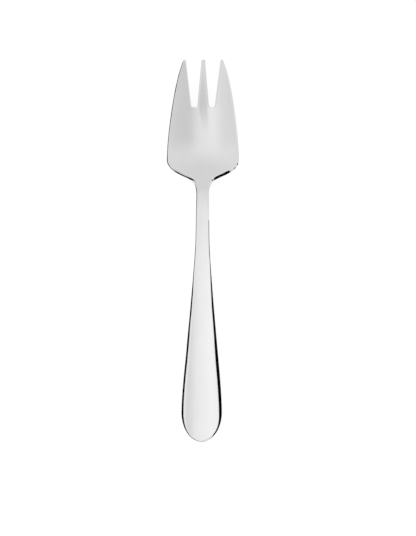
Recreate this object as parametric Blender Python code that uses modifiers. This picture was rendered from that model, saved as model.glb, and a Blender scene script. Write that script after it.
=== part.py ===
"""Buffet fork: one piece of polished stainless steel with a broad grip, a slim neck and three tines.

Metres, +Z up. The fork lies on a table at z = 0 with its tines towards +Y and its hollow face up.
Lengths run along the fork from the end of its grip, and widths across it.
"""

import bmesh
import bpy
import numpy as np
from mathutils import Vector
from mathutils.geometry import interpolate_bezier

# Places along the fork
OVERALL_LENGTH = 0.2500
GRIP_FROM_END = 0.0205
TIPS_TO_HEAD = 0.0650
HEAD_TO_SHOULDER = 0.0110
SHOULDER_TO_NECK = 0.0123
NECK_TO_SHANK = 0.0337
TINE_LENGTH = 0.0308

# Widths at those places
GRIP_WIDTH = 0.0266
SHANK_WIDTH = 0.0094
NECK_WIDTH = 0.0083
SHOULDER_WIDTH = 0.0262
HEAD_WIDTH = 0.0474
TIP_SPREAD = 0.0256

# How the outline leans there, as half-width gained per length
SHANK_TAPER = -0.062
SHOULDER_FLARE = 2.36
TIP_TAPER = -0.48

# How far the outline keeps its direction on each side of those places
END_REACH = 0.0034
GRIP_REACH = 0.0163
TAPER_REACH = 0.0462
SHANK_REACH = 0.0029
NECK_REACH = 0.0085
SHOULDER_REACH = 0.0050
HEAD_REACH = 0.0055
HEAD_SIDE_REACH = 0.0151
TIP_REACH = 0.0137

# Tines and the slots between them
MIDDLE_TINE_ROOT = 0.0078
MIDDLE_TINE_TIP = 0.0024
SLOT_ROOT_WIDTH = 0.0036
SLOT_CORNER = 0.0016
OUTER_TINE_TIP = 0.0016
TIP_ROUND = 0.0012

# Side view: how the back rises and falls above the table
REST_LENGTH = 0.0300
ARCH_HEIGHT = 0.0150
TIPS_TO_BOWL = 0.0520
BOWL_TO_ARCH = 0.0540
TIP_RISE = 0.0120
TIP_SLOPE = 0.20
ARCH_REACH = 0.0400
ARCH_FRONT_REACH = 0.0200
BOWL_REACH = 0.0200
HOLLOW_DEPTH = 0.0030

# Thickness of the steel in the middle, and how much less it is along the edge
GRIP_THICKNESS = 0.0030
NECK_THICKNESS = 0.0046
BOWL_THICKNESS = 0.0023
TIP_THICKNESS = 0.0016
GRIP_CROWN = 0.0009
NECK_CROWN = 0.0012
CROWN_POWER = 4

# Width of the rounded border along each edge
GRIP_EDGE = 0.0016
NECK_EDGE = 0.0008
HEAD_EDGE = 0.0010
TINE_EDGE = 0.0008

# Half-width at which the round end of the grip turns into its sides
END_CORNER = 0.0052

# Finish
STEEL_COLOUR = (0.80, 0.80, 0.79, 1.0)
STEEL_ROUGHNESS = 0.12

# Rows of the cage between those places, and how finely it is smoothed
END_ROWS = 5
END_ROW_GROWTH = 1.5
TAPER_ROWS = 8
SHANK_ROWS = 3
FLARE_ROWS = 9
HEAD_ROWS = 5
TINE_ROWS = 6
SMOOTH_LEVELS = 1
CURVE_STEPS = 48
MERGE_DISTANCE = 1e-6

# A fresh grid reaches this far from its middle
GRID_REACH = 0.5

HEAD_FROM_END = OVERALL_LENGTH - TIPS_TO_HEAD
SHOULDER_FROM_END = HEAD_FROM_END - HEAD_TO_SHOULDER
NECK_FROM_END = SHOULDER_FROM_END - SHOULDER_TO_NECK
SHANK_FROM_END = NECK_FROM_END - NECK_TO_SHANK
ROOT_FROM_END = OVERALL_LENGTH - TINE_LENGTH
BOWL_FROM_END = OVERALL_LENGTH - TIPS_TO_BOWL
ARCH_FROM_END = BOWL_FROM_END - BOWL_TO_ARCH
THICKEST = max(GRIP_THICKNESS, NECK_THICKNESS, BOWL_THICKNESS, TIP_THICKNESS)

LEVEL = (1.0, 0.0)
UPRIGHT = (0.0, 1.0)

# A smoothed cage keeps two thirds of a point and takes a sixth from each neighbour
SMOOTHING = 1 / 6

# Columns of the cage on one half, from the middle to the edge
MIDDLE, MIDDLE_BORDER, SLOT_INNER, SLOT_OUTER, OUTER_BORDER, EDGE_BORDER, EDGE = range(7)


def clear_scene():
    for obj in list(bpy.data.objects):
        bpy.data.objects.remove(obj, do_unlink=True)


def curve_through(knots):
    """Points (length, value) of a curve through knots of (place, direction, reach before, reach after)."""
    points = []
    for (start, lean, _, after), (end, end_lean, before, _) in zip(knots, knots[1:]):
        start, end = Vector(start), Vector(end)
        first = start + Vector(lean).normalized() * after
        last = end - Vector(end_lean).normalized() * before
        points += interpolate_bezier(start, first, last, end, CURVE_STEPS)
    return np.array([tuple(point) for point in points])


def eased(stations):
    """A curve that is level at each (length, value) station, with a soft S between neighbours."""
    reaches = [(after[0] - before[0]) / 3 for before, after in zip(stations, stations[1:])]
    return curve_through([
        (place, LEVEL, before, after)
        for place, before, after in zip(stations, [0.0] + reaches, reaches + [0.0])
    ])


def value_at(curve, length):
    return np.interp(length, curve[:, 0], curve[:, 1])


OUTLINE = curve_through([
    ((0.0, 0.0), UPRIGHT, 0.0, END_REACH),
    ((GRIP_FROM_END, GRIP_WIDTH / 2), LEVEL, GRIP_REACH, GRIP_REACH),
    ((SHANK_FROM_END, SHANK_WIDTH / 2), (1.0, SHANK_TAPER), TAPER_REACH, SHANK_REACH),
    ((NECK_FROM_END, NECK_WIDTH / 2), LEVEL, SHANK_REACH, NECK_REACH),
    ((SHOULDER_FROM_END, SHOULDER_WIDTH / 2), (1.0, SHOULDER_FLARE), SHOULDER_REACH, SHOULDER_REACH),
    ((HEAD_FROM_END, HEAD_WIDTH / 2), LEVEL, HEAD_REACH, HEAD_SIDE_REACH),
    ((OVERALL_LENGTH, TIP_SPREAD / 2), (1.0, TIP_TAPER), TIP_REACH, 0.0),
])
ROUND_END = OUTLINE[:CURVE_STEPS]

BACK = curve_through([
    ((0.0, 0.0), LEVEL, 0.0, REST_LENGTH / 3),
    ((REST_LENGTH, 0.0), LEVEL, REST_LENGTH / 3, ARCH_REACH),
    ((ARCH_FROM_END, ARCH_HEIGHT), LEVEL, ARCH_REACH, ARCH_FRONT_REACH),
    ((BOWL_FROM_END, 0.0), LEVEL, BOWL_REACH, BOWL_REACH),
    ((OVERALL_LENGTH, TIP_RISE), (1.0, TIP_SLOPE), BOWL_REACH, 0.0),
])

HOLLOW = eased([(NECK_FROM_END, 0.0), (BOWL_FROM_END, HOLLOW_DEPTH), (OVERALL_LENGTH, HOLLOW_DEPTH)])

THICKNESS = eased([
    (REST_LENGTH, GRIP_THICKNESS),
    (NECK_FROM_END, NECK_THICKNESS),
    (BOWL_FROM_END, BOWL_THICKNESS),
    (OVERALL_LENGTH, TIP_THICKNESS),
])

CROWN = eased([(REST_LENGTH, GRIP_CROWN), (NECK_FROM_END, NECK_CROWN), (HEAD_FROM_END, 0.0)])

BORDER = eased([
    (GRIP_FROM_END, GRIP_EDGE),
    (SHANK_FROM_END, NECK_EDGE),
    (HEAD_FROM_END, HEAD_EDGE),
    (ROOT_FROM_END, TINE_EDGE),
])

MIDDLE_TINE = np.array([
    (ROOT_FROM_END, MIDDLE_TINE_ROOT / 2),
    (OVERALL_LENGTH, MIDDLE_TINE_TIP / 2),
])

OUTER_TINE = np.array([
    (ROOT_FROM_END, MIDDLE_TINE_ROOT / 2 + SLOT_ROOT_WIDTH),
    (OVERALL_LENGTH, TIP_SPREAD / 2 - OUTER_TINE_TIP),
])


def round_end_at(across):
    return np.interp(across, ROUND_END[:, 1], ROUND_END[:, 0])


def cage_rows():
    """Each row as (length at the edge, share of the grip's round end in it), from the grip to the tips."""
    corner = round_end_at(END_CORNER)
    shares = (np.arange(END_ROWS) / END_ROWS) ** END_ROW_GROWTH
    round_rows = [(corner + (GRIP_FROM_END - corner) * share, 1.0 - share) for share in shares]
    straight_rows = np.concatenate([
        np.linspace(GRIP_FROM_END, SHANK_FROM_END, TAPER_ROWS, endpoint=False),
        np.linspace(SHANK_FROM_END, NECK_FROM_END, SHANK_ROWS, endpoint=False),
        np.linspace(NECK_FROM_END, HEAD_FROM_END, FLARE_ROWS, endpoint=False),
        np.linspace(HEAD_FROM_END, ROOT_FROM_END - SLOT_CORNER, HEAD_ROWS),
        [ROOT_FROM_END],
        np.linspace(ROOT_FROM_END + SLOT_CORNER, OVERALL_LENGTH - TIP_ROUND, TINE_ROWS - 1),
        [OVERALL_LENGTH],
    ])
    return round_rows + [(length, 0.0) for length in straight_rows]


def columns_at(length):
    """Distance of each column from the middle, in the row whose edge lies at this length."""
    half = value_at(OUTLINE, length)
    root_half = value_at(OUTLINE, ROOT_FROM_END)
    narrowing = min(1.0, half / root_half) if length < ROOT_FROM_END else 1.0
    inner = value_at(MIDDLE_TINE, length) * narrowing
    outer = value_at(OUTER_TINE, length) * narrowing
    tine_border = min(TINE_EDGE * narrowing, inner / 2, (half - outer) / 3)
    edge_border = min(value_at(BORDER, length), (half - outer) / 3)
    return np.array([
        0.0,
        inner - tine_border,
        inner + tine_border * SMOOTHING,
        outer - tine_border * SMOOTHING,
        outer + tine_border,
        half - edge_border,
        half + edge_border * SMOOTHING,
    ])


def back_height(across, length):
    return value_at(BACK, length) + value_at(HOLLOW, length) * (across / (HEAD_WIDTH / 2)) ** 2


def steel_thickness(across, length):
    share = across / across[EDGE]
    return value_at(THICKNESS, length) - value_at(CROWN, length) * share**CROWN_POWER


def cage_points():
    """Points of the back, and the thickness of the steel over them, by row and column."""
    points, thickness = [], []
    for edge_length, bow in cage_rows():
        across = columns_at(edge_length)
        round_end = round_end_at(across / across[EDGE] * END_CORNER)
        length = edge_length + bow * (round_end - round_end[EDGE])
        points.append(np.stack([across, length, back_height(across, length)], axis=1))
        thickness.append(steel_thickness(across, length))
    points = np.array(points)
    bend = points[2:] - 2 * points[1:-1] + points[:-2]
    points[1:-1] -= bend * SMOOTHING
    # The back lies flat on the table along the grip, and nothing dips below it.
    points[:, :, 2] = np.maximum(points[:, :, 2], 0.0)
    return points, np.array(thickness)


def grid_cell(vert, rows, columns):
    """Row and column of a point of a fresh grid."""
    column, row = ((place + GRID_REACH) / (2 * GRID_REACH) for place in vert.co.xy)
    return round(row * (rows - 1)), round(column * (columns - 1))


def back_sheet():
    """The back of one half as an open sheet without its slot, with the steel's thickness as weights."""
    points, thickness = cage_points()
    rows, columns = thickness.shape
    root_row = rows - 1 - TINE_ROWS
    bm = bmesh.new()
    weights = bm.verts.layers.deform.verify()
    bmesh.ops.create_grid(bm, x_segments=columns - 1, y_segments=rows - 1, size=GRID_REACH)
    cell = {vert: grid_cell(vert, rows, columns) for vert in bm.verts}
    slot = [
        face for face in bm.faces
        if min(cell[vert][0] for vert in face.verts) >= root_row
        and {cell[vert][1] for vert in face.verts} == {SLOT_INNER, SLOT_OUTER}
    ]
    for vert, (row, column) in cell.items():
        across, length, height = points[row, column]
        vert.co = (across, length - OVERALL_LENGTH / 2, height)
        vert[weights][0] = thickness[row, column] / THICKEST
    bmesh.ops.delete(bm, geom=slot, context="FACES")
    mesh = bpy.data.meshes.new("fork")
    bm.to_mesh(mesh)
    bm.free()
    mesh.shade_smooth()
    return mesh


def polished_steel():
    material = bpy.data.materials.new("polished_steel")
    material.use_nodes = True
    shader = material.node_tree.nodes["Principled BSDF"]
    shader.inputs["Base Color"].default_value = STEEL_COLOUR
    shader.inputs["Metallic"].default_value = 1.0
    shader.inputs["Roughness"].default_value = STEEL_ROUGHNESS
    return material


def make_fork(collection):
    fork = bpy.data.objects.new("fork", back_sheet())
    collection.objects.link(fork)
    fork.data.materials.append(polished_steel())
    group = fork.vertex_groups.new(name="thickness")
    mirror = fork.modifiers.new("both_halves", "MIRROR")
    mirror.merge_threshold = MERGE_DISTANCE
    mirror.use_clip = True
    solid = fork.modifiers.new("steel", "SOLIDIFY")
    solid.thickness = THICKEST
    solid.offset = 1.0
    solid.vertex_group = group.name
    smooth = fork.modifiers.new("soft_form", "SUBSURF")
    smooth.levels = SMOOTH_LEVELS
    smooth.render_levels = SMOOTH_LEVELS


def main():
    clear_scene()
    collection = bpy.data.collections.new("buffet_fork")
    bpy.context.scene.collection.children.link(collection)
    make_fork(collection)


main()
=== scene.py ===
"""Looks of the buffet fork: polished steel on a white studio floor, seen from straight above.

Metres, +Z up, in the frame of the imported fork: it lies on z = 0 with its tines towards +Y and its hollow
face up. Lengths run along the fork from the end of its grip, and widths across it.
"""

import math

import bmesh
import bpy
import numpy as np
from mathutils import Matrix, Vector
from mathutils.geometry import interpolate_bezier
from mathutils.kdtree import KDTree


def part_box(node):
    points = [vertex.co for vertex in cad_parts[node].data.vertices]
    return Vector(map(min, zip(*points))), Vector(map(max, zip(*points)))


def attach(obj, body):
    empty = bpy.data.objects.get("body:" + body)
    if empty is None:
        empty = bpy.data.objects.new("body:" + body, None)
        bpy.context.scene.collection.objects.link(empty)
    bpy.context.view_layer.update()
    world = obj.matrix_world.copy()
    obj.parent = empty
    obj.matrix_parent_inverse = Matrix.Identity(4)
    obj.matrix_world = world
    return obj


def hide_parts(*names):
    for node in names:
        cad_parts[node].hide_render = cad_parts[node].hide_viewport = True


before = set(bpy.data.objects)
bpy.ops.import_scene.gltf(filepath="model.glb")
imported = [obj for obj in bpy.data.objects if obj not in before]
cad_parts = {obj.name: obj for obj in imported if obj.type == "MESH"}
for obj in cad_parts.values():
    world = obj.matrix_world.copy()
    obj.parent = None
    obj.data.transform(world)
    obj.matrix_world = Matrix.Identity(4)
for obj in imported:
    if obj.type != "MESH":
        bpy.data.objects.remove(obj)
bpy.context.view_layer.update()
LOW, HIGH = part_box("fork")

# Places along the fork, which ends a hair inside the frame's box
ROUNDING_MARGIN = 1e-6
OVERALL_LENGTH = HIGH.y - LOW.y - ROUNDING_MARGIN
GRIP_FROM_END = 0.0205
TIPS_TO_HEAD = 0.0650
HEAD_TO_SHOULDER = 0.0110
SHOULDER_TO_NECK = 0.0123
NECK_TO_SHANK = 0.0337
TINE_LENGTH = 0.0308

# Widths at those places
GRIP_WIDTH = 0.0266
SHANK_WIDTH = 0.0094
NECK_WIDTH = 0.0083
SHOULDER_WIDTH = 0.0262
HEAD_WIDTH = HIGH.x - LOW.x
TIP_SPREAD = 0.0256

# How the outline leans there, as half-width gained per length
SHANK_TAPER = -0.062
SHOULDER_FLARE = 2.36
TIP_TAPER = -0.48

# How far the outline keeps its direction on each side of those places
END_REACH = 0.0034
GRIP_REACH = 0.0163
TAPER_REACH = 0.0462
SHANK_REACH = 0.0029
NECK_REACH = 0.0085
SHOULDER_REACH = 0.0050
HEAD_REACH = 0.0055
HEAD_SIDE_REACH = 0.0151
TIP_REACH = 0.0137

# Tines and the slots between them
MIDDLE_TINE_ROOT = 0.0078
MIDDLE_TINE_TIP = 0.0024
SLOT_ROOT_WIDTH = 0.0036
SLOT_CORNER = 0.0016
OUTER_TINE_TIP = 0.0016
TIP_ROUND = 0.0014
TIP_CORNER = 0.0007

# Side view: how the back rises and falls above the table
REST_LENGTH = 0.0300
ARCH_HEIGHT = 0.0150
TIPS_TO_BOWL = 0.0520
BOWL_TO_ARCH = 0.0540
TIP_RISE = 0.0120
TIP_SLOPE = 0.20
ARCH_REACH = 0.0400
ARCH_FRONT_REACH = 0.0200
BOWL_REACH = 0.0200
HOLLOW_DEPTH = 0.0030

# Thickness of the steel in the middle
GRIP_THICKNESS = 0.0030
NECK_THICKNESS = 0.0044
BOWL_THICKNESS = 0.0023
TIP_THICKNESS = 0.0016

# The grip's upper face is dished to this radius across its middle, and runs straight beside that
DISH_RADIUS = 0.095
DISH_HALF_WIDTH = 0.0080

# Width of the bevel round the outer edge of the upper face, by length from the grip's end
END_BEVEL = 0.0011
GRIP_BEVEL = 0.0025
WAIST_BEVEL = 0.0018
SHANK_BEVEL = 0.0009
NECK_BEVEL = 0.0008
SHOULDER_BEVEL = 0.0024
HEAD_BEVEL = 0.0009
END_BEVEL_LENGTH = 0.0030
GRIP_BEVEL_LENGTH = 0.0480
WAIST_BEVEL_LENGTH = 0.0800
SHANK_BEVEL_LENGTH = 0.1200
NECK_BEVEL_LENGTH = 0.1668
SHOULDER_BEVEL_FROM = 0.1712
SHOULDER_BEVEL_TO = 0.1762
HEAD_BEVEL_LENGTH = 0.1795

# How steep the bevel is, from its inner side outwards
BEVEL_SHARES = (0.0, 0.03, 0.14, 0.18, 1.0)
BEVEL_ANGLES = tuple(math.radians(degrees) for degrees in (0, 21, 28, 34, 46))
BEVEL_STEPS = 400

# Rounding of the slots' edges, of the back's edges and of the walls between
SLOT_ROUNDING = 0.0008
SLOT_ROUNDING_DEPTH = 0.00022
BACK_ROUNDING = 0.0012
BACK_ROUNDING_DEPTH = 0.00045
ROUNDING_POWER = 2.0
WALL_ROUNDING = 0.00008
WALL_POWER = 3
WALL_RINGS = 5

# Border columns of the cage: beside the slots, and inside the bevel as a share of its width
TINE_COLUMN = 0.0010
FACE_COLUMN_SHARE = 1.5

# The step that measures how the outline leans, and the most that a lean widens the bevel's column
LEAN_STEP = 0.0005
MOST_LEAN = 2.6

# Half-width at which the round end of the grip turns into its sides
END_CORNER = 0.0052

# Rows of the cage between those places, and how often it is divided
END_ROWS = 5
END_ROW_GROWTH = 1.5
TAPER_ROWS = 8
SHANK_ROWS = 3
FLARE_ROWS = 9
HEAD_ROWS = 5
TINE_ROWS = 6
FINE_LEVELS = 3

# Points on each piece of a curve, the step along the border, and the distance within which points merge
CURVE_STEPS = 600
EDGE_STEP = 0.00005
MERGE_DISTANCE = 1e-6

# A fresh grid reaches this far from its middle
GRID_REACH = 0.5

# The places along the fork, counted from the end of its grip
HEAD_FROM_END = OVERALL_LENGTH - TIPS_TO_HEAD
SHOULDER_FROM_END = HEAD_FROM_END - HEAD_TO_SHOULDER
NECK_FROM_END = SHOULDER_FROM_END - SHOULDER_TO_NECK
SHANK_FROM_END = NECK_FROM_END - NECK_TO_SHANK
ROOT_FROM_END = OVERALL_LENGTH - TINE_LENGTH
BOWL_FROM_END = OVERALL_LENGTH - TIPS_TO_BOWL
ARCH_FROM_END = BOWL_FROM_END - BOWL_TO_ARCH

# Directions of a curve of values by length
LEVEL = (1.0, 0.0)
UPRIGHT = (0.0, 1.0)

# Smoothing mixes a sixth of each neighbour into a point, so the cage's points first move the other way
SMOOTHING = 1 / 6

# Columns of the cage on one half, counted from the middle: the two sides of the slot, and the edge
SLOT_INNER, SLOT_OUTER, EDGE = 2, 3, 7

# Camera: the height that its picture shows at a plane above the table, the middle and a slight turn
VIEW_HEIGHT = 0.3499
VIEW_PLANE = 0.008
VIEW_CENTRE = (0.0037, -0.0109)
VIEW_TURN = math.radians(0.27)
LENS = 300.0
SENSOR = 36.0

# Floor: its plain tone, and its glow where it is seen
FLOOR_SIZE = 8.0
FLOOR_TONE = 0.25
FLOOR_GLOW = 0.81

# Brightness of the studio round the fork by angle from overhead, in degrees: across the fork and along it
SIDEWAYS_LIGHT = (
    (-90, 0.95), (-60, 0.96), (-35, 0.93), (-25, 0.92), (-20, 0.94), (-15, 0.98), (-12, 1.04),
    (-8, 1.12), (-4, 1.085), (0, 1.05), (3, 1.02), (6, 0.955), (9, 0.862), (11, 0.825), (20, 0.83),
    (30, 0.92), (42, 1.05), (55, 1.15), (70, 1.0), (90, 0.95),
)
LENGTHWAYS_LIGHT = (
    (-90, 0.75), (-70, 0.85), (-50, 0.97), (-25, 1.0), (0, 1.0), (20, 1.0), (28, 0.985), (36, 0.95),
    (45, 0.90), (51, 0.855), (56, 0.865), (75, 0.9), (90, 0.75),
)
HORIZON = 90

# A ramp holds no colour above 1, so it holds shares of this brightness
BRIGHTEST = 1.25

# Towards the tines the light across the fork gives way to an even one, between these angles along it
EVEN_LIGHT = 1.05
EVEN_LIGHT_FROM = math.radians(-10)
EVEN_LIGHT_TO = math.radians(58)

# Top edges of the dark cards beside the fork, which draw the black lines in its bevel
LEFT_CARD = (
    (-0.50, 0.45, 0.0), (-0.50, 0.30, 0.12), (-0.50, -0.10, 0.122), (-0.50, -0.16, 0.135),
    (-0.50, -0.45, 0.135), (-0.44, -0.60, 0.105), (-0.28, -0.70, 0.055), (-0.14, -0.76, 0.0),
)
NEAR_CARD = (
    (0.055, -0.215, 0.0), (0.055, -0.165, 0.020), (0.055, -0.120, 0.021), (0.038, -0.045, 0.0265),
    (0.0315, -0.012, 0.0235), (0.030, 0.030, 0.0),
)
SHOULDER_CARD = (
    (0.374, -0.555, 0.0), (0.415, -0.522, 0.26), (0.593, -0.341, 0.26), (0.64, -0.257, 0.08),
    (0.67, -0.19, 0.0),
)
NECK_CARD = (
    (0.45, -0.064, 0.0), (0.45, -0.048, 0.121), (0.45, 0.038, 0.121), (0.45, 0.046, 0.035),
    (0.45, 0.050, 0.0),
)
CARD_TONE = 0.003

# The steel: its tone, how much darker and rougher the head is, and where that begins and ends
STEEL_TONE = (0.80, 0.80, 0.80)
HEAD_TONE = 0.90
HEAD_TONE_FROM = 0.105
HEAD_TONE_TO = 0.172
POLISH_ROUGHNESS = 0.05
HEAD_ROUGHNESS = 0.11

# The rim is polished like the grip. Between these distances from the edge, its polish gives way to that of
# the head, and hairlines begin
RIM_FROM = 0.0010
RIM_TO = 0.0030

# A streak runs down the middle tine and thins out and leans to the right in the bowl; it is rougher like
# satin, and its darker tone is a painted reflection
STREAK_PAINTED_REFLECTION_TONE = 0.80
STREAK_ROUGHNESS = 0.20
STREAK_END = 0.199
STREAK_ROOT = 0.222
STREAK_TIP = 0.248
STREAK_END_HALF = 0.0020
STREAK_ROOT_HALF = 0.0028
STREAK_TIP_HALF = 0.0004
STREAK_TIP_SHARE = 0.65
STREAK_SOFTNESS = 0.0012
STREAK_SHIFT = 0.0020

# Faint patches all over, which come and go with noise between these limits
MOTTLE_SIZES = (0.011, 0.017, 0.011)
MOTTLE_FROM = 0.3
MOTTLE_TO = 0.7
MOTTLE_TONE = 0.01
MOTTLE_ROUGHNESS = 0.012
PATCH_DETAIL = 3.0

# Fine lines from polishing along the fork
POLISH_LINE_SIZES = (0.0002, 0.011, 0.011)
POLISH_LINE_FROM = 0.4
POLISH_LINE_TO = 0.8
POLISH_LINE_ROUGHNESS = 0.03
POLISH_LINE_DETAIL = 1.0

# Sparse hairlines from use, each kind with its length and its turn from the fork's direction
HAIRLINES = ((0.020, math.radians(4)), (0.012, math.radians(-21)), (0.008, math.radians(52)))
HAIRLINE_WIDTH = 0.00016
HAIRLINE_FROM = 0.70
HAIRLINE_TO = 0.76
HAIRLINE_TONE = 0.97
HAIRLINE_ROUGHNESS = 0.08
HAIRLINE_DETAIL = 0.0

# Edges rubbed in patches, and nowhere less than a share
WEAR_WIDTH = 0.0004
WEAR_PATCH = 0.004
WEAR_FROM = 0.35
WEAR_TO = 0.65
WEAR_LEAST = 0.3
WEAR_TONE = 1.03
WEAR_ROUGHNESS = 0.04

# Relief of the polishing lines and the hairlines
BUMP_STRENGTH = 0.04
BUMP_DEPTH = 0.00002


def curve_through(knots):
    """Points (length, value) of a curve through knots of (place, direction, reach before, reach after)."""
    points = []
    for (start, lean, _, after), (end, end_lean, before, _) in zip(knots, knots[1:]):
        start, end = Vector(start), Vector(end)
        first = start + Vector(lean).normalized() * after
        last = end - Vector(end_lean).normalized() * before
        points += interpolate_bezier(start, first, last, end, CURVE_STEPS)
    return np.array([tuple(point) for point in points])


def eased(stations):
    """A curve that is level at each (length, value) station, with a soft S between neighbours."""
    reaches = [(after[0] - before[0]) / 3 for before, after in zip(stations, stations[1:])]
    return curve_through([
        (place, LEVEL, before, after)
        for place, before, after in zip(stations, [0.0] + reaches, reaches + [0.0])
    ])


def value_at(curve, length):
    return np.interp(length, curve[:, 0], curve[:, 1])


OUTLINE = curve_through([
    ((0.0, 0.0), UPRIGHT, 0.0, END_REACH),
    ((GRIP_FROM_END, GRIP_WIDTH / 2), LEVEL, GRIP_REACH, GRIP_REACH),
    ((SHANK_FROM_END, SHANK_WIDTH / 2), (1.0, SHANK_TAPER), TAPER_REACH, SHANK_REACH),
    ((NECK_FROM_END, NECK_WIDTH / 2), LEVEL, SHANK_REACH, NECK_REACH),
    ((SHOULDER_FROM_END, SHOULDER_WIDTH / 2), (1.0, SHOULDER_FLARE), SHOULDER_REACH, SHOULDER_REACH),
    ((HEAD_FROM_END, HEAD_WIDTH / 2), LEVEL, HEAD_REACH, HEAD_SIDE_REACH),
    ((OVERALL_LENGTH, TIP_SPREAD / 2), (1.0, TIP_TAPER), TIP_REACH, 0.0),
])
ROUND_END = OUTLINE[:CURVE_STEPS]

BACK = curve_through([
    ((0.0, 0.0), LEVEL, 0.0, REST_LENGTH / 3),
    ((REST_LENGTH, 0.0), LEVEL, REST_LENGTH / 3, ARCH_REACH),
    ((ARCH_FROM_END, ARCH_HEIGHT), LEVEL, ARCH_REACH, ARCH_FRONT_REACH),
    ((BOWL_FROM_END, 0.0), LEVEL, BOWL_REACH, BOWL_REACH),
    ((OVERALL_LENGTH, TIP_RISE), (1.0, TIP_SLOPE), BOWL_REACH, 0.0),
])

HOLLOW = eased([(NECK_FROM_END, 0.0), (BOWL_FROM_END, HOLLOW_DEPTH), (OVERALL_LENGTH, HOLLOW_DEPTH)])

THICKNESS = eased([
    (REST_LENGTH, GRIP_THICKNESS),
    (NECK_FROM_END, NECK_THICKNESS),
    (BOWL_FROM_END, BOWL_THICKNESS),
    (OVERALL_LENGTH, TIP_THICKNESS),
])

DISH = eased([(ARCH_FROM_END, 1.0), (SHOULDER_FROM_END, 0.0)])

BEVEL = eased([
    (0.0, END_BEVEL),
    (END_BEVEL_LENGTH, END_BEVEL),
    (GRIP_FROM_END, GRIP_BEVEL),
    (GRIP_BEVEL_LENGTH, GRIP_BEVEL),
    (WAIST_BEVEL_LENGTH, WAIST_BEVEL),
    (SHANK_BEVEL_LENGTH, SHANK_BEVEL),
    (NECK_FROM_END, NECK_BEVEL),
    (NECK_BEVEL_LENGTH, NECK_BEVEL),
    (SHOULDER_BEVEL_FROM, SHOULDER_BEVEL),
    (SHOULDER_BEVEL_TO, SHOULDER_BEVEL),
    (HEAD_BEVEL_LENGTH, HEAD_BEVEL),
    (OVERALL_LENGTH, HEAD_BEVEL),
])

MIDDLE_TINE = np.array([
    (ROOT_FROM_END, MIDDLE_TINE_ROOT / 2),
    (OVERALL_LENGTH, MIDDLE_TINE_TIP / 2),
])

OUTER_TINE = np.array([
    (ROOT_FROM_END, MIDDLE_TINE_ROOT / 2 + SLOT_ROOT_WIDTH),
    (OVERALL_LENGTH, TIP_SPREAD / 2 - OUTER_TINE_TIP),
])


def round_end_at(across):
    return np.interp(across, ROUND_END[:, 1], ROUND_END[:, 0])


def cage_rows():
    """Each row as (length at the edge, share of the grip's round end in it), from the grip to the tips."""
    corner = round_end_at(END_CORNER)
    shares = (np.arange(END_ROWS) / END_ROWS) ** END_ROW_GROWTH
    round_rows = [(corner + (GRIP_FROM_END - corner) * share, 1.0 - share) for share in shares]
    straight_rows = np.concatenate([
        np.linspace(GRIP_FROM_END, SHANK_FROM_END, TAPER_ROWS, endpoint=False),
        np.linspace(SHANK_FROM_END, NECK_FROM_END, SHANK_ROWS, endpoint=False),
        np.linspace(NECK_FROM_END, HEAD_FROM_END, FLARE_ROWS, endpoint=False),
        np.linspace(HEAD_FROM_END, ROOT_FROM_END - SLOT_CORNER, HEAD_ROWS),
        [ROOT_FROM_END],
        np.linspace(ROOT_FROM_END + SLOT_CORNER, OVERALL_LENGTH - TIP_ROUND, TINE_ROWS - 1),
        [OVERALL_LENGTH],
    ])
    return round_rows + [(length, 0.0) for length in straight_rows]


def lean_at(length):
    """How much further a width reaches across than square to the outline, where the outline leans."""
    before, after = value_at(OUTLINE, np.array([length - LEAN_STEP, length + LEAN_STEP]))
    return min(math.hypot(1.0, (after - before) / (2 * LEAN_STEP)), MOST_LEAN)


def columns_at(length):
    """Distance of each column from the middle, in the row whose edge lies at this length.

    A border column takes no more than a part of its tine, so that the columns keep their order at the tips.
    """
    half = value_at(OUTLINE, length)
    root_half = value_at(OUTLINE, ROOT_FROM_END)
    narrowing = min(1.0, half / root_half) if length < ROOT_FROM_END else 1.0
    inner = value_at(MIDDLE_TINE, length) * narrowing
    outer = value_at(OUTER_TINE, length) * narrowing
    outer_width = half - outer
    tine_column = min(TINE_COLUMN * narrowing, inner / 2, outer_width / 3)
    edge_column = min(value_at(BEVEL, length) * lean_at(length), outer_width / 3)
    face_column = min(edge_column * FACE_COLUMN_SHARE, outer_width / 2)
    return np.array([
        0.0, inner - tine_column, inner, outer, outer + tine_column,
        half - face_column, half - edge_column, half,
    ])


def cage_points():
    """Points (across, length) of one half of the outline's cage, by row and column."""
    points = []
    for edge_length, bow in cage_rows():
        across = columns_at(edge_length)
        round_end = round_end_at(across / across[EDGE] * END_CORNER)
        points.append(np.stack([across, edge_length + bow * (round_end - round_end[EDGE])], axis=1))
    points = np.array(points)
    bend = points[2:] - 2 * points[1:-1] + points[:-2]
    points[1:-1] -= bend * SMOOTHING
    points[-1, [SLOT_INNER, SLOT_OUTER, EDGE], 1] -= TIP_CORNER
    return points


def grid_cell(vert, rows, columns):
    """Row and column of a point of a fresh grid."""
    column, row = ((place + GRID_REACH) / (2 * GRID_REACH) for place in vert.co.xy)
    return round(row * (rows - 1)), round(column * (columns - 1))


def flat_cage():
    """One half of the outline as a flat grid without its slot."""
    points = cage_points()
    rows, columns = points.shape[:2]
    root_row = rows - 1 - TINE_ROWS
    bm = bmesh.new()
    bmesh.ops.create_grid(bm, x_segments=columns - 1, y_segments=rows - 1, size=GRID_REACH)
    cell = {vert: grid_cell(vert, rows, columns) for vert in bm.verts}
    slot = [
        face for face in bm.faces
        if min(cell[vert][0] for vert in face.verts) >= root_row
        and {cell[vert][1] for vert in face.verts} == {SLOT_INNER, SLOT_OUTER}
    ]
    for vert, (row, column) in cell.items():
        vert.co = (*points[row, column], 0.0)
    bmesh.ops.delete(bm, geom=slot, context="FACES")
    mesh = bpy.data.meshes.new("flat_cage")
    bm.to_mesh(mesh)
    bm.free()
    return mesh


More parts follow.
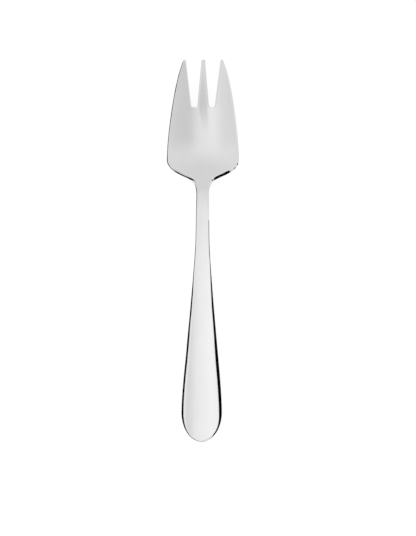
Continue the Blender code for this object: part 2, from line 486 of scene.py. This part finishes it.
def fine_sheet():
    """The whole outline as one flat sheet of small quads, with the slots cut out."""
    cage = bpy.data.objects.new("flat_cage", flat_cage())
    bpy.context.scene.collection.objects.link(cage)
    mirror = cage.modifiers.new("both_halves", "MIRROR")
    mirror.merge_threshold = MERGE_DISTANCE
    mirror.use_clip = True
    fine = cage.modifiers.new("fine", "SUBSURF")
    fine.levels = FINE_LEVELS
    graph = bpy.context.evaluated_depsgraph_get()
    sheet = bpy.data.meshes.new_from_object(cage.evaluated_get(graph))
    flat = cage.data
    bpy.data.objects.remove(cage)
    bpy.data.meshes.remove(flat)
    return sheet


class Sheet:
    """The flat sheet's points (across, length), its faces, its border and the directions out of it."""

    def __init__(self, mesh):
        place = np.empty(len(mesh.vertices) * 3)
        mesh.vertices.foreach_get("co", place)
        self.points = place.reshape(-1, 3)[:, :2]
        corners = np.empty(len(mesh.loops), dtype=int)
        mesh.loops.foreach_get("vertex_index", corners)
        self.faces = corners.reshape(-1, 4)
        self.border = self.lone_edges()
        self.rim = np.unique(self.border)
        self.outwards = self.directions_out()
        self.inset = self.points - self.outwards * WALL_ROUNDING

    def lone_edges(self):
        """The edges (start, end) that belong to one face only."""
        starts, ends = self.faces.ravel(), np.roll(self.faces, -1, axis=1).ravel()
        count = len(self.points)
        alone = ~np.isin(starts * count + ends, ends * count + starts)
        return np.stack([starts[alone], ends[alone]], axis=1)

    def directions_out(self):
        """The direction outwards at each border point, and zero elsewhere."""
        along = self.points[self.border[:, 1]] - self.points[self.border[:, 0]]
        across = np.stack([along[:, 1], -along[:, 0]], axis=1)
        across /= np.linalg.norm(across, axis=1, keepdims=True)
        sums = np.zeros_like(self.points)
        for side in range(2):
            np.add.at(sums, self.border[:, side], across)
        sizes = np.linalg.norm(sums, axis=1, keepdims=True)
        return sums / np.where(sizes > 0, sizes, 1.0)

    def slot_border(self):
        """Which border edges face a slot and not the outside."""
        across, length = self.points[self.border].mean(axis=1).T
        between = (value_at(OUTER_TINE, length) + value_at(OUTLINE, length)) / 2
        return (length > ROOT_FROM_END - SLOT_CORNER) & (np.abs(across) < between)

    def nearest(self, border):
        """Distance of each inset point from these border edges, the nearest place and the way out there."""
        places, directions = [], []
        for start, end in border:
            apart = np.linalg.norm(self.points[end] - self.points[start])
            steps = max(1, math.ceil(apart / EDGE_STEP))
            shares = np.linspace(0.0, 1.0, steps, endpoint=False)[:, None]
            places.append(self.points[start] * (1.0 - shares) + self.points[end] * shares)
            directions.append(self.outwards[start] * (1.0 - shares) + self.outwards[end] * shares)
        places, directions = np.concatenate(places), np.concatenate(directions)
        tree = KDTree(len(places))
        for index, place in enumerate(places):
            tree.insert((*place, 0.0), index)
        tree.balance()
        found = [tree.find((*point, 0.0)) for point in self.inset]
        chosen = [index for _, index, _ in found]
        return np.array([distance for _, _, distance in found]), places[chosen], directions[chosen]


def rolled(distance, width, depth):
    """How far a rounded edge has fallen at this distance from it."""
    return depth * np.clip(1.0 - distance / width, 0.0, 1.0) ** ROUNDING_POWER


def bevelled(share):
    """How far a bevel one wide has fallen at this share of its width, counted outwards."""
    shares = np.linspace(0.0, 1.0, BEVEL_STEPS)
    slopes = np.tan(np.interp(shares, BEVEL_SHARES, BEVEL_ANGLES))
    return np.interp(share, shares, np.cumsum(slopes) / BEVEL_STEPS)


def back_height(across, length):
    return value_at(BACK, length) + value_at(HOLLOW, length) * (across / (HEAD_WIDTH / 2)) ** 2


def face_height(across, length):
    across_dish = np.minimum(np.abs(across), DISH_HALF_WIDTH)
    dish = across_dish * (np.abs(across) - across_dish / 2) / DISH_RADIUS
    return back_height(across, length) + value_at(THICKNESS, length) + value_at(DISH, length) * dish


def heights(sheet):
    """Heights of the upper face and the back at each point, and how far the point is from the border."""
    slots = sheet.slot_border()
    from_edge, edge, outwards = sheet.nearest(sheet.border[~slots])
    from_slot, _, _ = sheet.nearest(sheet.border[slots])
    width = value_at(BEVEL, edge[:, 1])
    inside = edge - outwards * width[:, None]
    on_bevel = from_edge < width
    upper = face_height(*np.where(on_bevel[:, None], inside, sheet.inset).T)
    upper -= width * bevelled(1.0 - from_edge / width)
    upper -= rolled(from_slot, SLOT_ROUNDING, SLOT_ROUNDING_DEPTH)
    back = back_height(*sheet.inset.T)
    from_border = np.minimum(from_edge, from_slot)
    back += rolled(from_border, BACK_ROUNDING, BACK_ROUNDING_DEPTH)
    return upper, back, from_border


def wall_rings(sheet, upper, back):
    """Points of the rings round the walls, between the upper rim and the lower one."""
    rings = []
    for share in np.linspace(0.0, 1.0, WALL_RINGS)[1:-1]:
        inset = WALL_ROUNDING * abs(2 * share - 1) ** WALL_POWER
        place = sheet.points[sheet.rim] - sheet.outwards[sheet.rim] * inset
        height = upper[sheet.rim] * (1 - share) + back[sheet.rim] * share
        rings.append(np.column_stack([place, height]))
    return rings


def fork_faces(sheet, rings):
    """Corners of the fork's faces, for points in the order of the upper face, the back and the rings."""
    count = len(sheet.points)
    ring_number = np.zeros(count, dtype=int)
    ring_number[sheet.rim] = np.arange(len(sheet.rim))
    starts, ends = sheet.border.T
    levels = [(starts, ends)]
    for index in range(len(rings)):
        first = 2 * count + index * len(sheet.rim)
        levels.append((first + ring_number[starts], first + ring_number[ends]))
    levels.append((count + starts, count + ends))
    faces = [sheet.faces, count + sheet.faces[:, ::-1]]
    for (start, end), (lower_start, lower_end) in zip(levels, levels[1:]):
        faces.append(np.column_stack([end, start, lower_start, lower_end]))
    return np.concatenate(faces)


def sharpen_rims(mesh, sheet):
    """Keeps the shading of the walls apart from that of the upper face and the back."""
    rims = np.concatenate([sheet.rim, len(sheet.points) + sheet.rim])
    edges = np.empty(len(mesh.edges) * 2, dtype=int)
    mesh.edges.foreach_get("vertices", edges)
    on_rim = np.isin(edges.reshape(-1, 2), rims).all(axis=1)
    sharp = mesh.attributes.new("sharp_edge", "BOOLEAN", "EDGE")
    sharp.data.foreach_set("value", on_rim)


def fork_mesh():
    """The fork as one closed mesh: the sheet's upper face and back, and rounded walls between them."""
    flat = fine_sheet()
    sheet = Sheet(flat)
    bpy.data.meshes.remove(flat)
    upper, back, from_border = heights(sheet)
    faces = [np.column_stack([sheet.inset, height]) for height in (upper, back)]
    rings = wall_rings(sheet, upper, back)
    place = np.concatenate(faces + rings) + np.array([0.0, LOW.y, LOW.z])
    mesh = bpy.data.meshes.new("polished_fork")
    mesh.from_pydata(place.tolist(), [], fork_faces(sheet, rings).tolist())
    mesh.shade_smooth()
    sharpen_rims(mesh, sheet)
    on_walls = np.zeros(len(rings) * len(sheet.rim))
    from_edge = mesh.attributes.new("from_edge", "FLOAT", "POINT")
    from_edge.data.foreach_set("value", np.concatenate([from_border, from_border, on_walls]))
    return mesh


class Tree:
    """Adds nodes to a material or a world, with values or sockets as their inputs."""

    def __init__(self, owner):
        owner.use_nodes = True
        self.nodes = owner.node_tree.nodes
        self.links = owner.node_tree.links

    def put(self, value, socket):
        if isinstance(value, bpy.types.NodeSocket):
            self.links.new(value, socket)
        else:
            socket.default_value = value

    def math(self, operation, *values):
        node = self.nodes.new("ShaderNodeMath")
        node.operation = operation
        for value, socket in zip(values, node.inputs):
            self.put(value, socket)
        return node.outputs["Value"]

    def between(self, value, start, end, low=0.0, high=1.0, soft=True):
        """Runs from low to high as the value runs from start to end."""
        node = self.nodes.new("ShaderNodeMapRange")
        node.interpolation_type = "SMOOTHSTEP" if soft else "LINEAR"
        names = ("Value", "From Min", "From Max", "To Min", "To Max")
        for name, number in zip(names, (value, start, end, low, high)):
            self.put(number, node.inputs[name])
        return node.outputs["Result"]

    def mix(self, share, first, second):
        """A blend of two numbers."""
        node = self.nodes.new("ShaderNodeMix")
        for name, number in zip(("Factor", "A", "B"), (share, first, second)):
            self.put(number, node.inputs[name])
        return node.outputs["Result"]

    def axes(self, kind):
        """The three parts of a texture coordinate."""
        place = self.nodes.new("ShaderNodeTexCoord").outputs[kind]
        node = self.nodes.new("ShaderNodeSeparateXYZ")
        self.links.new(place, node.inputs["Vector"])
        return node.outputs

    def attribute(self, name):
        """A number that the mesh holds for each of its points."""
        node = self.nodes.new("ShaderNodeAttribute")
        node.attribute_name = name
        return node.outputs["Fac"]

    def noise(self, sizes, detail, turn=0.0):
        """Noise from 0 to 1 in patches of these sizes along the axes, turned about the vertical."""
        place = self.nodes.new("ShaderNodeTexCoord").outputs["Object"]
        stretch = self.nodes.new("ShaderNodeMapping")
        stretch.vector_type = "TEXTURE"
        stretch.inputs["Rotation"].default_value = (0.0, 0.0, turn)
        stretch.inputs["Scale"].default_value = sizes
        self.links.new(place, stretch.inputs["Vector"])
        node = self.nodes.new("ShaderNodeTexNoise")
        node.inputs["Scale"].default_value = 1.0
        node.inputs["Detail"].default_value = detail
        self.links.new(stretch.outputs["Vector"], node.inputs["Vector"])
        return node.outputs["Fac"]

    def ramp(self, angle, stops):
        """Runs smoothly through (degrees, brightness) stops from one horizon to the other."""
        node = self.nodes.new("ShaderNodeValToRGB")
        node.color_ramp.interpolation = "CARDINAL"
        elements = node.color_ramp.elements
        while len(elements) < len(stops):
            elements.new(1.0)
        for element, (degrees, brightness) in zip(elements, stops):
            share = brightness / BRIGHTEST
            element.position = (degrees + HORIZON) / (2 * HORIZON)
            element.color = (share, share, share, 1.0)
        horizon = math.radians(HORIZON)
        self.put(self.between(angle, -horizon, horizon, soft=False), node.inputs["Fac"])
        return self.math("MULTIPLY", node.outputs["Color"], BRIGHTEST)


def satin_streak_with_painted_reflection(tree, across, length):
    """How much of the streak lies here, from 0 to 1: rougher like satin, and darker as a painted
    reflection.
    """
    bowl_half = tree.between(length, STREAK_END, STREAK_ROOT, STREAK_END_HALF, STREAK_ROOT_HALF, soft=False)
    tine_half = tree.between(length, STREAK_ROOT, STREAK_TIP, STREAK_ROOT_HALF, STREAK_TIP_HALF, soft=False)
    middle = tree.between(length, STREAK_END, STREAK_ROOT, STREAK_SHIFT, 0.0)
    from_middle = tree.math("ABSOLUTE", tree.math("SUBTRACT", across, middle))
    beside = tree.math("SUBTRACT", from_middle, tree.math("MINIMUM", bowl_half, tine_half))
    streak = tree.between(beside, -STREAK_SOFTNESS, STREAK_SOFTNESS, 1.0, 0.0)
    streak = tree.math("MULTIPLY", streak, tree.between(length, STREAK_END, STREAK_ROOT))
    fading = tree.between(length, STREAK_ROOT, STREAK_TIP, 1.0, STREAK_TIP_SHARE)
    return tree.math("MULTIPLY", streak, fading)


def hairlines(tree, inside_rim):
    """Sparse fine scratches from use inside the rim, in a few directions, from 0 to 1."""
    together = 0.0
    for length, turn in HAIRLINES:
        noise = tree.noise((HAIRLINE_WIDTH, length, length), HAIRLINE_DETAIL, turn)
        together = tree.math("MAXIMUM", together, tree.between(noise, HAIRLINE_FROM, HAIRLINE_TO))
    return tree.math("MULTIPLY", together, inside_rim)


def edge_wear(tree, from_edge):
    """How much the finish is rubbed along the edges, from 0 to 1."""
    rubbed = tree.between(from_edge, 0.0, WEAR_WIDTH, 1.0, 0.0)
    patches = tree.noise((WEAR_PATCH, WEAR_PATCH, WEAR_PATCH), PATCH_DETAIL)
    return tree.math("MULTIPLY", rubbed, tree.between(patches, WEAR_FROM, WEAR_TO, WEAR_LEAST, 1.0))


class Finish:
    """How much of each kind of finish, and of the streak's painted reflection, lies at a point of the
    steel, from 0 to 1.
    """

    def __init__(self, tree):
        across, along, _ = tree.axes("Object")
        length = tree.math("SUBTRACT", along, LOW.y)
        from_edge = tree.attribute("from_edge")
        self.head = tree.between(length, HEAD_TONE_FROM, HEAD_TONE_TO)
        self.inside_rim = tree.between(from_edge, RIM_FROM, RIM_TO)
        # the streak is a rougher satin and a painted dark reflection
        self.streak = satin_streak_with_painted_reflection(tree, across, length)
        self.scratches = hairlines(tree, self.inside_rim)
        self.wear = edge_wear(tree, from_edge)
        self.mottle = tree.noise(MOTTLE_SIZES, PATCH_DETAIL)
        self.lines = tree.noise(POLISH_LINE_SIZES, POLISH_LINE_DETAIL)


def steel_colour(tree, finish):
    tone = tree.mix(finish.head, 1.0, HEAD_TONE)
    for factor in (
        # the streak's painted dark reflection
        tree.mix(finish.streak, 1.0, STREAK_PAINTED_REFLECTION_TONE),
        tree.between(finish.mottle, MOTTLE_FROM, MOTTLE_TO, 1.0 - MOTTLE_TONE, 1.0 + MOTTLE_TONE),
        tree.mix(finish.scratches, 1.0, HAIRLINE_TONE),
        tree.mix(finish.wear, 1.0, WEAR_TONE),
    ):
        tone = tree.math("MULTIPLY", tone, factor)
    colour = tree.nodes.new("ShaderNodeVectorMath")
    colour.operation = "SCALE"
    colour.inputs[0].default_value = STEEL_TONE
    tree.put(tone, colour.inputs["Scale"])
    return colour.outputs["Vector"]


def steel_roughness(tree, finish):
    dull_head = tree.math("MULTIPLY", finish.head, finish.inside_rim)
    rough = tree.mix(dull_head, POLISH_ROUGHNESS, HEAD_ROUGHNESS)
    rough = tree.mix(finish.streak, rough, STREAK_ROUGHNESS)
    for added in (
        tree.between(finish.mottle, MOTTLE_FROM, MOTTLE_TO, -MOTTLE_ROUGHNESS, MOTTLE_ROUGHNESS),
        tree.between(finish.lines, POLISH_LINE_FROM, POLISH_LINE_TO, 0.0, POLISH_LINE_ROUGHNESS),
        tree.math("MULTIPLY", finish.scratches, HAIRLINE_ROUGHNESS),
        tree.math("MULTIPLY", finish.wear, WEAR_ROUGHNESS),
    ):
        rough = tree.math("ADD", rough, added)
    return rough


def steel_relief(tree, finish):
    bump = tree.nodes.new("ShaderNodeBump")
    bump.inputs["Strength"].default_value = BUMP_STRENGTH
    bump.inputs["Distance"].default_value = BUMP_DEPTH
    tree.put(tree.math("SUBTRACT", finish.lines, finish.scratches), bump.inputs["Height"])
    return bump.outputs["Normal"]


def polished_steel():
    material = bpy.data.materials.new("polished_steel")
    tree = Tree(material)
    finish = Finish(tree)
    shader = tree.nodes["Principled BSDF"]
    tree.put(steel_colour(tree, finish), shader.inputs["Base Color"])
    tree.put(steel_roughness(tree, finish), shader.inputs["Roughness"])
    tree.put(steel_relief(tree, finish), shader.inputs["Normal"])
    shader.inputs["Metallic"].default_value = 1.0
    return material


def make_fork():
    fork = bpy.data.objects.new("polished_fork", fork_mesh())
    bpy.context.scene.collection.objects.link(fork)
    fork.data.materials.append(polished_steel())
    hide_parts("fork")
    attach(fork, "root")


def white_floor():
    """Glows where it is seen, while its plain tone takes the light and the shadow."""
    material = bpy.data.materials.new("white_floor")
    tree = Tree(material)
    shader = tree.nodes["Principled BSDF"]
    shader.inputs["Base Color"].default_value = (FLOOR_TONE, FLOOR_TONE, FLOOR_TONE, 1.0)
    shader.inputs["Roughness"].default_value = 1.0
    shader.inputs["Specular IOR Level"].default_value = 0.0
    shader.inputs["Emission Color"].default_value = (1.0, 1.0, 1.0, 1.0)
    path = tree.nodes.new("ShaderNodeLightPath").outputs
    seen = tree.math("MAXIMUM", path["Is Camera Ray"], path["Is Glossy Ray"])
    seen = tree.math("MAXIMUM", seen, path["Is Transmission Ray"])
    tree.put(tree.math("MULTIPLY", seen, FLOOR_GLOW), shader.inputs["Emission Strength"])
    return material


def make_floor():
    bpy.ops.mesh.primitive_plane_add(size=FLOOR_SIZE)
    floor = bpy.context.object
    floor.name = "floor"
    floor.data.materials.append(white_floor())


def make_world():
    """A bright studio whose light changes softly across the fork and along it."""
    world = bpy.data.worlds.new("studio")
    bpy.context.scene.world = world
    tree = Tree(world)
    right, ahead, up = tree.axes("Generated")
    sideways = tree.math("ARCTAN2", right, up)
    lengthways = tree.math("ARCTAN2", ahead, up)
    even = tree.between(lengthways, EVEN_LIGHT_FROM, EVEN_LIGHT_TO)
    light = tree.mix(even, tree.ramp(sideways, SIDEWAYS_LIGHT), EVEN_LIGHT)
    light = tree.math("MULTIPLY", light, tree.ramp(lengthways, LENGTHWAYS_LIGHT))
    tree.put(light, tree.nodes["Background"].inputs["Color"])


def card_mesh(name, tops):
    """An upright strip from the floor to these (across, along, height) points."""
    columns = len(tops)
    bm = bmesh.new()
    bmesh.ops.create_grid(bm, x_segments=columns - 1, y_segments=1, size=GRID_REACH)
    for vert in bm.verts:
        row, column = grid_cell(vert, 2, columns)
        across, along, height = tops[column]
        vert.co = (across, along, height * row)
    mesh = bpy.data.meshes.new(name)
    bm.to_mesh(mesh)
    bm.free()
    return mesh


def dark_card(name):
    material = bpy.data.materials.new(name)
    shader = Tree(material).nodes["Principled BSDF"]
    shader.inputs["Base Color"].default_value = (CARD_TONE, CARD_TONE, CARD_TONE, 1.0)
    shader.inputs["Specular IOR Level"].default_value = 0.0
    return material


def make_card(name, tops):
    """A dark card that only reflections see, up to these (across, along, height) points."""
    card = bpy.data.objects.new(name, card_mesh(name, tops))
    bpy.context.scene.collection.objects.link(card)
    card.data.materials.append(dark_card(name))
    card.visible_camera = False
    card.visible_diffuse = False
    card.visible_shadow = False
    card.visible_transmission = False


def make_camera():
    camera = bpy.data.objects.new("camera", bpy.data.cameras.new("camera"))
    bpy.context.scene.collection.objects.link(camera)
    camera.data.lens = LENS
    camera.data.sensor_width = SENSOR
    camera.location = (*VIEW_CENTRE, VIEW_PLANE + VIEW_HEIGHT * LENS / SENSOR)
    camera.rotation_euler = (0.0, 0.0, VIEW_TURN)
    bpy.context.scene.camera = camera


make_fork()
make_floor()
make_world()
make_card("left_card", LEFT_CARD)
make_card("near_card", NEAR_CARD)
make_card("shoulder_card", SHOULDER_CARD)
make_card("neck_card", NECK_CARD)
make_camera()
bpy.context.scene.view_settings.view_transform = "Standard"
